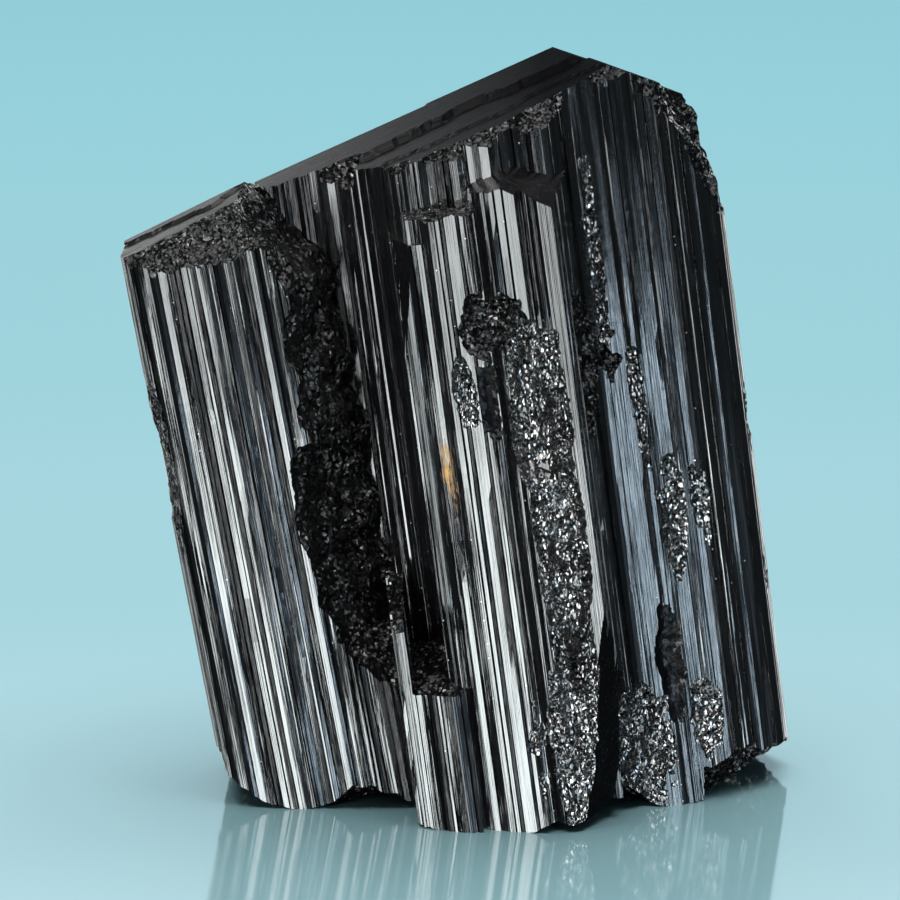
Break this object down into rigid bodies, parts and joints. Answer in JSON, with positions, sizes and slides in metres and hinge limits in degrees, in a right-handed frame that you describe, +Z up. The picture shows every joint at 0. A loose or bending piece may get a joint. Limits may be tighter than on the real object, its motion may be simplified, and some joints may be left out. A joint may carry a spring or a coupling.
{
  "type": "tourmaline crystal",
  "caption": "Black tourmaline crystal: fused striated columns under a low pyramid end, with broken granular edges, standing on its broken base as a display specimen.",
  "frame": {"origin": "bottom centre of the bounding box, on the surface it stands on", "axes": "+Z up, nearly along the crystal's long axis; -Y towards the front, where the ridge and the gully are; +X to the right"},
  "size_m": [0.067, 0.043, 0.0741],
  "materials": {
    "schorl": "vitreous, opaque black"
  },
  "bodies": {
    "root": {"crystal": "schorl"}
  },
  "joints": []
}
